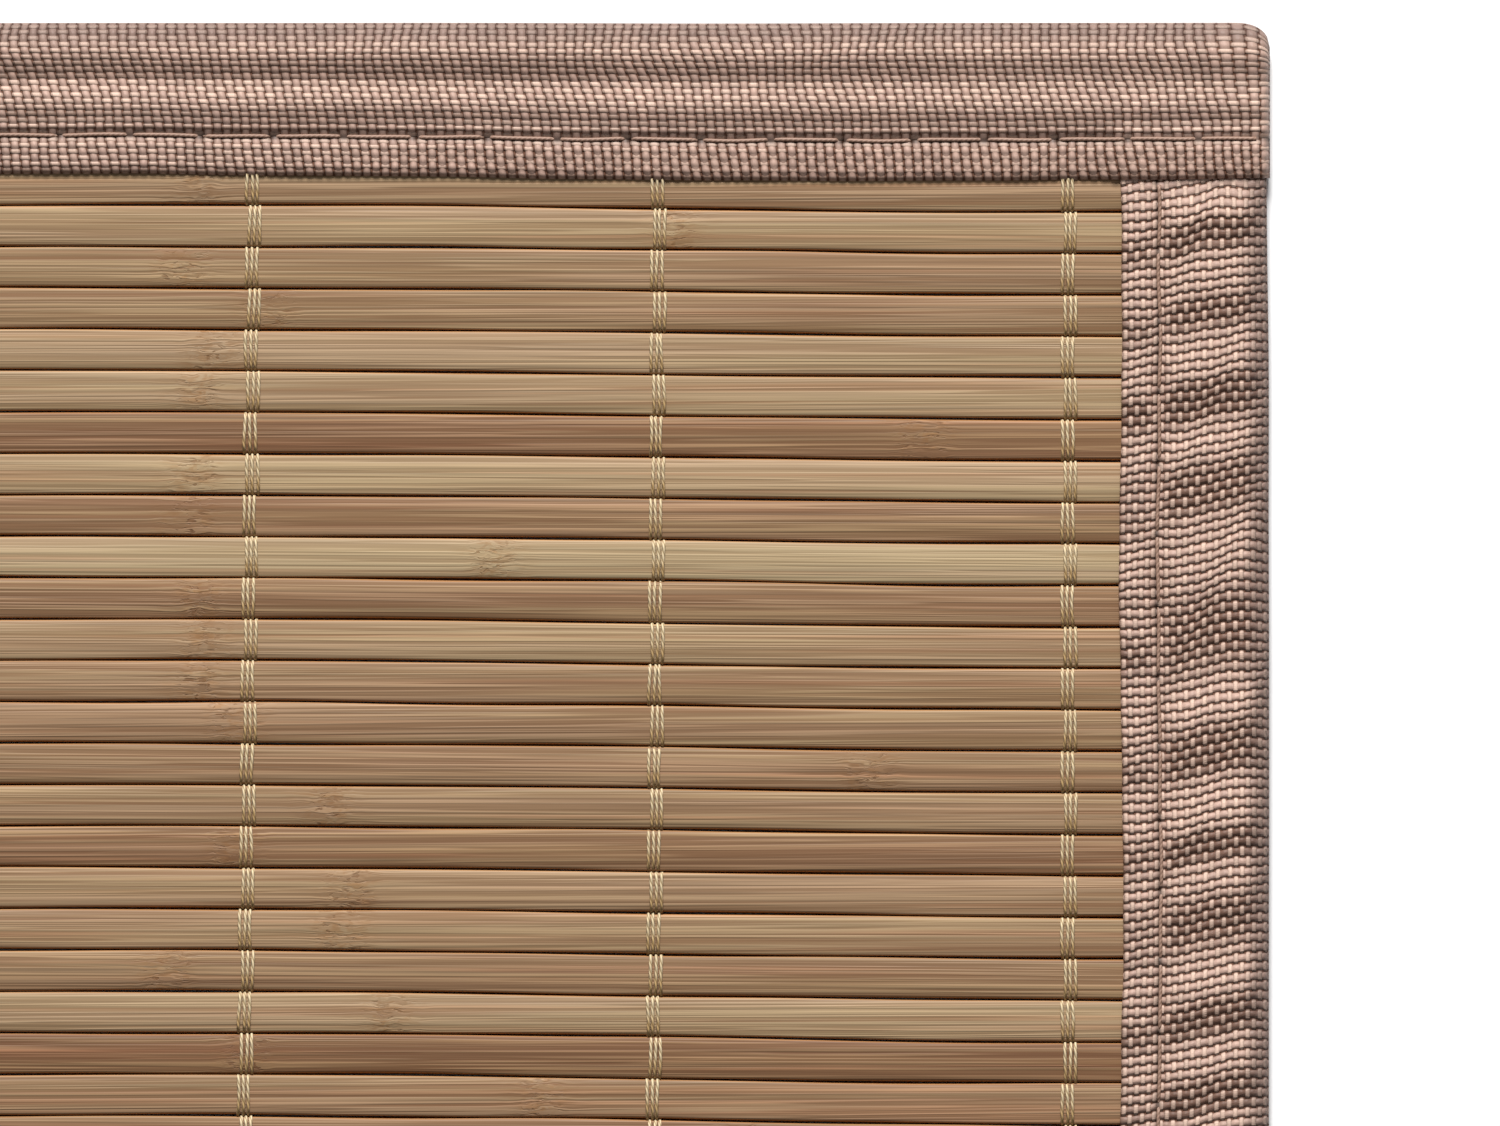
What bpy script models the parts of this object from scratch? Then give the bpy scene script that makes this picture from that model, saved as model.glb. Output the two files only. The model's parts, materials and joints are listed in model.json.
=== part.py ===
# A flat bamboo mat lying on z = 0: slats side by side, cord lines across them, folded tape round the edges.
# Sizes are in metres. +X runs along the slats, +Y across them and +Z up.
import bpy
import bmesh
import math

for old in list(bpy.data.objects):
    bpy.data.objects.remove(old, do_unlink=True)

# Whole mat
halfLength = 0.225
halfWidth = 0.150
clearance = 0.0003

# Slats
slatCount = 39
slatPitch = 0.0075
slatWidth = 0.00655
slatThick = 0.0022
slatBase = 0.0013
slatHalfLength = 0.2220
slatTopChamfer = 0.00055
slatLowChamfer = 0.00030

# Cords: each line is two flat ribbons side by side, one over the odd slats and one over the even ones
cordWide = 0.0012
cordThick = 0.00035

# Tape
tapeThick = 0.0010
tapeFloor = slatBase + slatThick + clearance
cornerRadius = 0.0045
stitchFromLip = 0.0072

# Where each cord line crosses the middle of the mat, and how far it leans in +X per metre of +Y
cordLines = [
    {"name": "cord_1", "x": -0.1874, "lean": 0.0020},
    {"name": "cord_2", "x": -0.1121, "lean": -0.0040},
    {"name": "cord_3", "x": -0.0362, "lean": 0.0050},
    {"name": "cord_4", "x": 0.0397, "lean": 0.0100},
    {"name": "cord_5", "x": 0.1136, "lean": 0.0055},
    {"name": "cord_6", "x": 0.1886, "lean": 0.0},
]

# Tape section from the lip to the outer fold. "from" says what the inward distance is measured from.
# rise is the height of the cloth's upper face above a cloth pressed on the slats.
topSection = [
    {"from": "lip", "inward": 0.0, "rise": 0.00010},
    {"from": "lip", "inward": -0.0034, "rise": 0.00050},
    {"from": "stitch", "inward": 0.0010, "rise": 0.00035},
    {"from": "stitch", "inward": 0.0, "rise": 0.0},
    {"from": "stitch", "inward": -0.0012, "rise": 0.00045},
    {"from": "stitch", "inward": -0.0062, "rise": 0.00105},
    {"from": "edge", "inward": 0.0122, "rise": 0.00075},
    {"from": "edge", "inward": 0.0094, "rise": 0.00020},
    {"from": "edge", "inward": 0.0056, "rise": 0.00085},
    {"from": "edge", "inward": 0.0026, "rise": 0.00035},
]

# The outer fold, by height as a share of the pressed height
foldSection = [
    {"inward": 0.0007, "share": 0.76},
    {"inward": 0.0, "share": 0.48},
    {"inward": 0.0004, "share": 0.20},
    {"inward": 0.0016, "share": 0.0},
]


def wave(place, start, length):
    return math.sin(2.0 * math.pi * (place - start) / length)


def backLip(x):
    return 0.0280 + 0.00065 * wave(x, 0.075, 0.330)


def frontLip(x):
    return 0.0279 + 0.00055 * wave(x, -0.040, 0.290)


def rightLip(y):
    return 0.0268 + 0.00035 * wave(y, 0.020, 0.118)


def leftLip(y):
    return 0.0269 + 0.00035 * wave(y, -0.035, 0.131)


def longRipple(x, phase):
    return 0.00012 * wave(x, phase, 0.071) + 0.00010 * wave(x, phase + 0.013, 0.043)


def sideRipple(y, phase):
    return 0.00032 * wave(y, phase, 0.0225) + 0.00010 * wave(y, phase, 0.061)


def material(name, colour, roughness):
    made = bpy.data.materials.new(name)
    made.use_nodes = True
    shader = made.node_tree.nodes["Principled BSDF"]
    shader.inputs["Base Color"].default_value = (*colour, 1.0)
    shader.inputs["Roughness"].default_value = roughness
    return made


def addObject(name, points, faces, colour, roughness):
    mesh = bpy.data.meshes.new(name)
    mesh.from_pydata(points, [], faces)
    work = bmesh.new()
    work.from_mesh(mesh)
    bmesh.ops.recalc_face_normals(work, faces=work.faces)
    bmesh.ops.triangulate(work, faces=work.faces)
    work.to_mesh(mesh)
    work.free()
    mesh.materials.append(material(name + "_surface", colour, roughness))
    made = bpy.data.objects.new(name, mesh)
    bpy.context.scene.collection.objects.link(made)
    return made


def prism(outline, low, high, place):
    count = len(outline)
    points = [place(low, a, b) for a, b in outline] + [place(high, a, b) for a, b in outline]
    faces = [(i, (i + 1) % count, count + (i + 1) % count, count + i) for i in range(count)]
    faces.append(tuple(range(count)))
    faces.append(tuple(range(count, 2 * count)))
    return points, faces


def alongX(x, y, z):
    return (x, y, z)


# Slats
def slatOutline(width, thick):
    half = width / 2.0
    top = slatTopChamfer
    low = slatLowChamfer
    return [
        (-half + low, 0.0),
        (half - low, 0.0),
        (half, low),
        (half, thick - top),
        (half - top, thick),
        (-half + top, thick),
        (-half, thick - top),
        (-half, low),
    ]


def gapPlace(number):
    return halfWidth - slatPitch / 2.0 - slatPitch * number


for number in range(1, slatCount + 1):
    narrower = 0.00005 * (1.0 + math.sin(2.4 * number))
    thinner = 0.00004 * (1.0 + math.sin(1.7 * number + 1.0))
    outline = slatOutline(slatWidth - narrower, slatThick - thinner)
    points, faces = prism(outline, -slatHalfLength, slatHalfLength, alongX)
    tone = 0.5 + 0.5 * math.sin(2.9 * number + 0.6)
    colour = (0.30 + 0.14 * tone, 0.18 + 0.12 * tone, 0.10 + 0.08 * tone)
    slat = addObject(f"slat_{number:02d}", points, faces, colour, 0.55)
    slat.location = (0.0, (gapPlace(number - 1) + gapPlace(number)) / 2.0, slatBase)


# Cords
def ribbonOutline(stops, half):
    left = []
    right = []
    for place, (y, z) in enumerate(stops):
        before = stops[max(place - 1, 0)]
        after = stops[min(place + 1, len(stops) - 1)]
        sideY = 0.0
        sideZ = 0.0
        for start, end in ((before, (y, z)), ((y, z), after)):
            run = math.dist(start, end)
            if run > 0.0:
                sideY += -(end[1] - start[1]) / run
                sideZ += (end[0] - start[0]) / run
        sideY = max(-1.0, min(1.0, sideY))
        sideZ = max(-1.0, min(1.0, sideZ))
        left.append((y + half * sideY, z + half * sideZ))
        right.append((y - half * sideY, z - half * sideZ))
    return left + right[::-1]


cordHigh = slatBase + slatThick + clearance + cordThick / 2.0
cordLow = slatBase - clearance - cordThick / 2.0
firstOpenSlat = 4
lastOpenSlat = slatCount + 1 - firstOpenSlat


def cordStops(overEven, yStart, yEnd):
    stops = []
    for number in range(firstOpenSlat, lastOpenSlat + 1):
        over = (number % 2 == 0) == overEven
        level = cordHigh if over else cordLow
        near = yStart if number == firstOpenSlat else gapPlace(number - 1)
        far = yEnd if number == lastOpenSlat else gapPlace(number)
        stops.append((near, level))
        stops.append((far, level))
    return stops


for line in cordLines:
    yStart = halfWidth - backLip(line["x"]) - 0.0004
    yEnd = -halfWidth + frontLip(line["x"]) + 0.0004
    side = (cordWide + clearance) / 2.0
    for letter, overEven, middle in (("a", True, -side), ("b", False, side)):
        outline = ribbonOutline(cordStops(overEven, yStart, yEnd), cordThick / 2.0)
        points, faces = prism(outline, middle - cordWide / 2.0, middle + cordWide / 2.0, alongX)
        cord = addObject(line["name"] + letter, points, faces, (0.74, 0.66, 0.50), 0.8)
        cord.location = (line["x"], 0.0, 0.0)
        cord.rotation_euler = (0.0, 0.0, -math.atan(line["lean"]))


# Tape
def sectionPoints(lip, puff, share, lift):
    pressed = tapeFloor + tapeThick
    starts = {"lip": lip, "stitch": lip - stitchFromLip, "edge": 0.0}
    outer = []
    for row in topSection:
        quiet = 0.35 if row["from"] == "lip" else 1.0
        rise = row["rise"] + puff * quiet * min(1.0, row["rise"] / 0.0006)
        outer.append((starts[row["from"]] + row["inward"], (pressed + rise) * share))
    for row in foldSection:
        outer.append((row["inward"], max(pressed * row["share"] * share, lift)))
    outer.append((lip, lift))
    inner = []
    for place, (u, z) in enumerate(outer):
        if place < len(topSection):
            inner.append((max(u, 0.0032), max(z - tapeThick, tapeFloor)))
        elif place == len(topSection):
            inner.append((0.0016, 0.0033))
        elif place == len(topSection) + 1:
            inner.append((0.0010, 0.0023))
        elif place == len(topSection) + 2:
            inner.append((0.0013, 0.0013))
        else:
            inner.append((max(u, 0.0020), tapeThick))
    return outer, inner


def cornerInset(fromEnd, radius):
    if fromEnd >= radius:
        return 0.0
    return radius - math.sqrt(radius * radius - (radius - fromEnd) ** 2)


def skins(stations):
    points = []
    rows = []
    for outer, inner in stations:
        rows.append((len(points), len(points) + len(outer)))
        points.extend(outer)
        points.extend(inner)
    return points, rows


def skinFaces(rows, count):
    faces = []
    for (outerA, innerA), (outerB, innerB) in zip(rows, rows[1:]):
        for k in range(count - 1):
            faces.append((outerA + k, outerA + k + 1, outerB + k + 1, outerB + k))
            faces.append((innerA + k, innerB + k, innerB + k + 1, innerA + k + 1))
        faces.append((outerA, outerB, innerB, innerA))
        last = count - 1
        faces.append((outerA + last, innerA + last, innerB + last, outerB + last))
    return faces


def longTape(name, side, lipAt, phase):
    count = len(topSection) + len(foldSection) + 1
    ends = [
        {"fromEnd": 0.0, "share": 0.80, "lift": 0.0006},
        {"fromEnd": 0.0011, "share": 0.94, "lift": 0.0},
        {"fromEnd": 0.0045, "share": 1.0, "lift": 0.0},
    ]
    inside = 19
    reach = halfLength - 0.012
    places = [{"x": -halfLength + row["fromEnd"], **row} for row in ends]
    for step in range(inside):
        x = -reach + 2.0 * reach * step / (inside - 1)
        places.append({"x": x, "fromEnd": halfLength, "share": 1.0, "lift": 0.0})
    places += [{"x": halfLength - row["fromEnd"], **row} for row in reversed(ends)]
    stations = []
    for row in places:
        x = row["x"]
        outer, inner = sectionPoints(lipAt(x), longRipple(x, phase), row["share"], row["lift"])
        inset = cornerInset(row["fromEnd"], cornerRadius)
        tight = cornerRadius - inset
        outerRow = []
        innerRow = []
        for (u, z), (v, w) in zip(outer, inner):
            out = max(u, inset + u * tight / cornerRadius) if u < cornerRadius else u
            outerRow.append((x, side * (halfWidth - out), z))
            innerX = x * (halfLength - tapeThick) / halfLength
            into = max(v, inset + v * tight / cornerRadius) if v < cornerRadius + tapeThick else v
            innerRow.append((innerX, side * (halfWidth - into), w))
        stations.append((outerRow, innerRow))
    points, rows = skins(stations)
    faces = skinFaces(rows, count)
    for outerRow, innerRow in (rows[0], rows[-1]):
        faces.append(tuple(range(outerRow, outerRow + count)))
        faces.append(tuple(range(innerRow, innerRow + count)))
        last = count - 1
        faces.append((outerRow, innerRow, innerRow + last, outerRow + last))
    return addObject(name, points, faces, (0.36, 0.24, 0.19), 0.9)


def shortTape(name, side, lipAt, phase):
    count = len(topSection) + len(foldSection) + 1
    steps = 23
    stations = []
    for step in range(steps):
        share = step / (steps - 1)
        y = 0.1218 * (2.0 * share - 1.0)
        outer, inner = sectionPoints(lipAt(y), sideRipple(y, phase), 1.0, 0.0)
        rowPoints = []
        for section in (outer, inner):
            placed = []
            for u, z in section:
                x = halfLength - u
                high = halfWidth - backLip(side * x) - clearance
                low = -halfWidth + frontLip(side * x) + clearance
                placed.append((side * x, low + (high - low) * share, z))
            rowPoints.append(placed)
        stations.append(tuple(rowPoints))
    points, rows = skins(stations)
    faces = skinFaces(rows, count)
    for outerRow, innerRow in (rows[0], rows[-1]):
        for k in range(count - 1):
            faces.append((outerRow + k, innerRow + k, innerRow + k + 1, outerRow + k + 1))
    return addObject(name, points, faces, (0.35, 0.23, 0.18), 0.9)


longTape("binding_back", 1.0, backLip, 0.010)
longTape("binding_front", -1.0, frontLip, 0.034)
shortTape("binding_right", 1.0, rightLip, 0.004)
shortTape("binding_left", -1.0, leftLip, 0.011)
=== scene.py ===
import bpy
import bmesh
import json
import math
import numpy as np
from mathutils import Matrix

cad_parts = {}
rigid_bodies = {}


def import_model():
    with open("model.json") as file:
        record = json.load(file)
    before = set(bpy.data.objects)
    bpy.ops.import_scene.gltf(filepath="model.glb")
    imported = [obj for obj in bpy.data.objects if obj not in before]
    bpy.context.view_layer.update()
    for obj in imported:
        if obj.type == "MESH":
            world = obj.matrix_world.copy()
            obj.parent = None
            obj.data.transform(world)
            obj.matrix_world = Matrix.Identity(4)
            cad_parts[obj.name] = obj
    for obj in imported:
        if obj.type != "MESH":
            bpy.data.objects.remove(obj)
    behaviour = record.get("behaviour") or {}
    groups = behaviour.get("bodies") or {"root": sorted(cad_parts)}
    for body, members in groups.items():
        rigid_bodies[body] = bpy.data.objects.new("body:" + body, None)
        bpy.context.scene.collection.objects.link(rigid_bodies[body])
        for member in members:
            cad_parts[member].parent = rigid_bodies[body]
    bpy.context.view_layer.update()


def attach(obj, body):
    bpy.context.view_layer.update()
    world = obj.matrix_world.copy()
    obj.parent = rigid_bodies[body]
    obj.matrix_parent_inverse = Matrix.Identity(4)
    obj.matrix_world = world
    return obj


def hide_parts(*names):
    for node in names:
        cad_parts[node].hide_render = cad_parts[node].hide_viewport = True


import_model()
mm = 0.001
print("frame loaded")


# Helpers
def deselectAll():
    if bpy.context.object is not None and bpy.context.object.mode != "OBJECT":
        bpy.ops.object.mode_set(mode="OBJECT")
    for thing in bpy.context.scene.objects:
        thing.select_set(False)


def wander(place, seed, size, parts=4):
    # a soft uneven line from a few sines, between about -1 and 1
    draw = np.random.default_rng(seed)
    total = np.zeros_like(np.asarray(place, dtype=float))
    for part in range(parts):
        length = size * draw.uniform(0.6, 2.2)
        total = total + np.sin(2 * math.pi * np.asarray(place) / length + draw.uniform(0, 2 * math.pi))
    return total / (0.55 * parts)


def softStep(low, high, value):
    t = np.clip((np.asarray(value, dtype=float) - low) / (high - low), 0.0, 1.0)
    return t * t * (3.0 - 2.0 * t)


def throughKnots(knots, value):
    # eases from each crest or trough to the next
    places = np.array([k[0] for k in knots], dtype=float)
    heights = np.array([k[1] for k in knots], dtype=float)
    order = np.argsort(places)
    places, heights = places[order], heights[order]
    value = np.clip(np.asarray(value, dtype=float), places[0], places[-1])
    after = np.clip(np.searchsorted(places, value, side="right"), 1, len(places) - 1)
    share = (value - places[after - 1]) / (places[after] - places[after - 1])
    share = 0.5 - 0.5 * np.cos(math.pi * share)
    return heights[after - 1] + (heights[after] - heights[after - 1]) * share


def meshObject(name, points, faces, uvs=None):
    mesh = bpy.data.meshes.new(name)
    mesh.from_pydata([tuple(p) for p in points], [], faces)
    if uvs is not None:
        layer = mesh.uv_layers.new(name="weave")
        index = np.empty(len(mesh.loops), dtype=np.int32)
        mesh.loops.foreach_get("vertex_index", index)
        layer.data.foreach_set("uv", np.asarray(uvs, dtype=np.float32)[index].ravel())
    made = bpy.data.objects.new(name, mesh)
    bpy.context.scene.collection.objects.link(made)
    work = bmesh.new()
    work.from_mesh(mesh)
    bmesh.ops.recalc_face_normals(work, faces=work.faces)
    work.to_mesh(mesh)
    work.free()
    mesh.shade_smooth()
    return made


def ringFaces(rings, count, start=0):
    # faces of a closed tube made of rings of count points, with both ends capped
    faces = []
    for ring in range(rings - 1):
        row = start + ring * count
        for k in range(count):
            after = (k + 1) % count
            faces.append((row + k, row + after, row + count + after, row + count + k))
    faces.append(tuple(range(start, start + count)))
    faces.append(tuple(range(start + (rings - 1) * count, start + rings * count)))
    return faces


def threadTube(centres, sideways, upward, radius, sides, flat):
    # points of a thread round its line of centres; flat is its height as a share of its width
    angles = 2 * math.pi * np.arange(sides) / sides
    across = (radius * np.cos(angles))[None, :, None]
    up = (radius * flat * np.sin(angles))[None, :, None]
    rings = centres[:, None, :] + sideways[:, None, :] * across + upward[:, None, :] * up
    return rings.reshape(-1, 3)


def threadUvs(lengths, sides):
    return [(k / sides, length) for length in lengths for k in range(sides)]


def pointValue(mesh, name, values):
    layer = mesh.attributes.new(name, "FLOAT", "POINT")
    layer.data.foreach_set("value", np.asarray(values, dtype=np.float32))


class Nodes:
    # short names for the shader nodes used below
    def __init__(self, name):
        self.material = bpy.data.materials.new(name)
        self.material.use_nodes = True
        self.tree = self.material.node_tree
        self.shader = self.tree.nodes["Principled BSDF"]

    def add(self, kind, **settings):
        node = self.tree.nodes.new(kind)
        for key, value in settings.items():
            setattr(node, key, value)
        return node

    def feed(self, socket, value):
        if isinstance(value, bpy.types.NodeSocket):
            self.tree.links.new(value, socket)
        else:
            socket.default_value = value

    def sum(self, operation, a, b=0.0, c=0.0):
        node = self.add("ShaderNodeMath", operation=operation)
        for socket, value in zip(node.inputs, (a, b, c)):
            self.feed(socket, value)
        return node.outputs[0]

    def step(self, low, high, value):
        node = self.add("ShaderNodeMapRange", interpolation_type="SMOOTHSTEP")
        self.feed(node.inputs["Value"], value)
        node.inputs["From Min"].default_value = low
        node.inputs["From Max"].default_value = high
        return node.outputs["Result"]

    def blend(self, share, a, b, mode="MIX"):
        node = self.add("ShaderNodeMix", data_type="RGBA", blend_type=mode)
        self.feed(node.inputs["Factor"], share)
        for socket, value in ((node.inputs[6], a), (node.inputs[7], b)):
            self.feed(socket, (*value, 1.0) if isinstance(value, tuple) else value)
        return node.outputs[2]

    def noise(self, vector, scale, detail=2.0, rough=0.5, distortion=0.0):
        node = self.add("ShaderNodeTexNoise")
        self.feed(node.inputs["Vector"], vector)
        node.inputs["Scale"].default_value = scale
        node.inputs["Detail"].default_value = detail
        node.inputs["Roughness"].default_value = rough
        node.inputs["Distortion"].default_value = distortion
        return node.outputs["Fac"]

    def stretch(self, vector, scale):
        node = self.add("ShaderNodeVectorMath", operation="MULTIPLY")
        self.feed(node.inputs[0], vector)
        node.inputs[1].default_value = scale
        return node.outputs[0]

    def vector(self, x, y, z):
        node = self.add("ShaderNodeCombineXYZ")
        for socket, value in zip(node.inputs, (x, y, z)):
            self.feed(socket, value)
        return node.outputs[0]

    def split(self, vector):
        node = self.add("ShaderNodeSeparateXYZ")
        self.feed(node.inputs[0], vector)
        return node.outputs

    def attribute(self, name):
        return self.add("ShaderNodeAttribute", attribute_name=name).outputs["Fac"]

    def scaled(self, colour, share):
        node = self.add("ShaderNodeVectorMath", operation="SCALE")
        self.feed(node.inputs[0], colour)
        self.feed(node.inputs["Scale"], share)
        return node.outputs[0]

    def chance(self, value):
        # one lot for each whole number, or for each pair of them
        pair = isinstance(value, tuple)
        node = self.add("ShaderNodeTexWhiteNoise", noise_dimensions="2D" if pair else "1D")
        self.feed(node.inputs["Vector" if pair else "W"], self.vector(*value, 0.0) if pair else value)
        return node.outputs["Value"]

    def plies(self, pitch):
        # 0 in the groove between a thread's two plies and 1 on their crowns; pitch in turns a millimetre
        u, v, unused = self.split(self.add("ShaderNodeUVMap", uv_map="weave").outputs[0])
        turn = self.sum("ADD", self.sum("MULTIPLY", u, 2.0), self.sum("MULTIPLY", v, pitch))
        wave = self.sum("SINE", self.sum("MULTIPLY", turn, 2 * math.pi))
        return self.sum("ADD", 0.5, self.sum("MULTIPLY", wave, 0.5))

    def bump(self, height, strength, distance):
        node = self.add("ShaderNodeBump")
        self.feed(node.inputs["Height"], height)
        node.inputs["Strength"].default_value = strength
        node.inputs["Distance"].default_value = distance
        return node.outputs["Normal"]


# Camera and light
cameraValues = {
    "middle": (0.1308, 0.0520),
    "height": 5.0,
    "shownWidth": 0.27174,
    "sensor": 36.0,
    "planeHeight": 0.0045,      # the mat's upper face, where the shown width is measured
    "clipEnd": 50.0,
}
camera = bpy.data.objects.new("camera", bpy.data.cameras.new("camera"))
bpy.context.scene.collection.objects.link(camera)
camera.location = (*cameraValues["middle"], cameraValues["height"])
camera.data.sensor_width = cameraValues["sensor"]
cameraReach = cameraValues["height"] - cameraValues["planeHeight"]
camera.data.lens = cameraValues["sensor"] * cameraReach / cameraValues["shownWidth"]
camera.data.clip_end = cameraValues["clipEnd"]
bpy.context.scene.camera = camera

lightValues = {
    "keyPower": 430.0,
    "keySize": 1.5,
    "keyPlace": (0.02, 4.00, 2.70),
    "skyStrength": 0.20,
    "floorSize": 24.0,
    "floorColour": (0.93, 0.93, 0.93),
    "floorRoughness": 0.9,
}
key = bpy.data.objects.new("window_light", bpy.data.lights.new("window_light", "AREA"))
bpy.context.scene.collection.objects.link(key)
key.data.energy = lightValues["keyPower"]
key.data.size = lightValues["keySize"]
key.location = lightValues["keyPlace"]
key.rotation_euler = key.location.to_track_quat("Z", "Y").to_euler()
world = bpy.data.worlds.new("studio")
bpy.context.scene.world = world
world.use_nodes = True
sky = world.node_tree.nodes["Background"]
sky.inputs["Color"].default_value = (1.0, 1.0, 1.0, 1.0)
# the backdrop is white to the camera and dimmer as a light
seen = world.node_tree.nodes.new("ShaderNodeLightPath")
lift = world.node_tree.nodes.new("ShaderNodeMapRange")
lift.inputs["To Min"].default_value = lightValues["skyStrength"]
lift.inputs["To Max"].default_value = 1.0
world.node_tree.links.new(seen.outputs["Is Camera Ray"], lift.inputs["Value"])
world.node_tree.links.new(lift.outputs["Result"], sky.inputs["Strength"])
bpy.context.scene.view_settings.view_transform = "Standard"

deselectAll()
bpy.ops.mesh.primitive_plane_add(size=lightValues["floorSize"], location=(0.0, 0.0, 0.0))
floor = bpy.context.object
floor.name = "floor"
floorPaint = Nodes("floor_paint")
floorPaint.shader.inputs["Base Color"].default_value = (*lightValues["floorColour"], 1.0)
floorPaint.shader.inputs["Roughness"].default_value = lightValues["floorRoughness"]
floor.data.materials.append(floorPaint.material)
print("camera, light and floor made")

# The slats' layout in millimetres, shared by the cords
layout = {
    "slats": 39,
    "pitch": 7.5,
    "halfWidth": 150.0,
    "slatBase": 1.3,
    "slatThick": 2.2,
}


def gapPlace(number):
    return layout["halfWidth"] - layout["pitch"] * (number + 0.5)


def slatShift(x, y):
    # the slats don't lie quite square to the tape: they drift down towards the right
    right = 0.65 * np.cos(math.pi * (np.asarray(x) - 20.0) / 190.0)
    left = 0.65 * np.cos(math.pi * (np.asarray(x) - 20.0) / 420.0)
    drift = np.where(np.asarray(x) > 20.0, right, left)
    lower = np.clip((116.0 - y) / 158.0, 0.0, 1.4)
    return drift - 0.45 * lower * softStep(60.0, 200.0, x)


# Slats, in millimetres
slatValues = {
    "halfLength": 222.0,
    "gap": 0.44,
    "lowGap": 0.06,
    "gapUneven": 0.13,
    "edgeUneven": 0.11,
    "roundEdge": 0.42,
    "crown": 0.20,
    "rings": 92,
    "tilt": 0.012,
    "knuckleRise": 0.22,
    "knuckleLength": 4.2,
    "lotSeed": 41,
    "paleColours": ((0.458, 0.330, 0.202), (0.440, 0.330, 0.190)),
    "ruddyColours": ((0.250, 0.124, 0.062), (0.258, 0.142, 0.067)),
    "rosyColours": ((0.280, 0.114, 0.056), (0.42, 0.245, 0.132)),
    "veinColours": ((0.125, 0.050, 0.022), (0.215, 0.115, 0.048)),
    "burntColour": (0.285, 0.135, 0.045),
    "gapShadeColour": (0.400, 0.190, 0.070),
}
# how pale each slat is, from 0, ruddy brown, to 1, pale straw; the rest are drawn by lot
slatTones = {
    4: 0.52, 5: 0.66, 6: 0.48, 7: 0.42, 8: 0.72, 9: 0.70, 10: 0.20, 11: 0.76, 12: 0.30, 13: 0.95,
    14: 0.32, 15: 0.62, 16: 0.44, 17: 0.42, 18: 0.38, 19: 0.48, 20: 0.24, 21: 0.50, 22: 0.52,
    23: 0.34, 24: 0.68, 25: 0.10, 26: 0.40,
}
# where a knuckle of the cane shows, by slat, in millimetres along it
knucklePlaces = {
    4: 31.0, 6: 28.0, 5: 117.0, 8: 33.5, 9: 31.0, 11: 30.0, 12: 29.0, 13: 84.5, 14: 31.0, 15: 32.0,
    16: 31.0, 17: 37.5, 18: 152.5, 19: 54.5, 20: 37.5, 21: 58.5, 22: 56.5, 23: 25.0, 25: 39.5,
}


def slatBlank():
    deselectAll()
    wide = layout["pitch"] - slatValues["gap"]
    bpy.ops.mesh.primitive_cube_add(size=1.0, location=(0, 0, 0))
    blank = bpy.context.object
    blank.scale = (2 * slatValues["halfLength"] * mm, wide * mm, layout["slatThick"] * mm)
    blank.location = (0.0, 0.0, (layout["slatBase"] + layout["slatThick"] / 2) * mm)
    bpy.ops.object.transform_apply(location=True, rotation=False, scale=True)
    bpy.ops.object.mode_set(mode="EDIT")
    bpy.ops.mesh.select_mode(type="EDGE")
    bpy.ops.mesh.select_all(action="DESELECT")
    pickAlong(blank)
    bpy.ops.mesh.bevel(offset=slatValues["roundEdge"] * mm, segments=3, affect="EDGES")
    bpy.ops.mesh.select_all(action="DESELECT")
    pickTopEnds(blank)
    bpy.ops.mesh.subdivide(number_cuts=3)
    bpy.ops.mesh.select_all(action="DESELECT")
    pickAlong(blank)
    bpy.ops.mesh.subdivide(number_cuts=slatValues["rings"])
    bpy.ops.object.mode_set(mode="OBJECT")
    return blank


def pickAlong(blank):
    work = bmesh.from_edit_mesh(blank.data)
    for edge in work.edges:
        run = edge.verts[1].co - edge.verts[0].co
        if abs(run.x) > 0.1:
            edge.select_set(True)
    bmesh.update_edit_mesh(blank.data)


def pickTopEnds(blank):
    work = bmesh.from_edit_mesh(blank.data)
    top = max(v.co.z for v in work.verts)
    for edge in work.edges:
        run = edge.verts[1].co - edge.verts[0].co
        if abs(run.y) > 0.004 and min(v.co.z for v in edge.verts) > top - 1e-6:
            edge.select_set(True)
    bmesh.update_edit_mesh(blank.data)


def gapEdge(number, x, side):
    # one edge of the gap below slat "number", in millimetres; side is +1 for its upper edge
    half = slatValues["gap"] + slatValues["gapUneven"] * wander(x, 300 + number, 60.0)
    half = np.clip(half, 0.10, 0.75) / 2
    middle = gapPlace(number) + slatValues["edgeUneven"] * wander(x, 500 + number, 95.0)
    return middle + side * half


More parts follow.
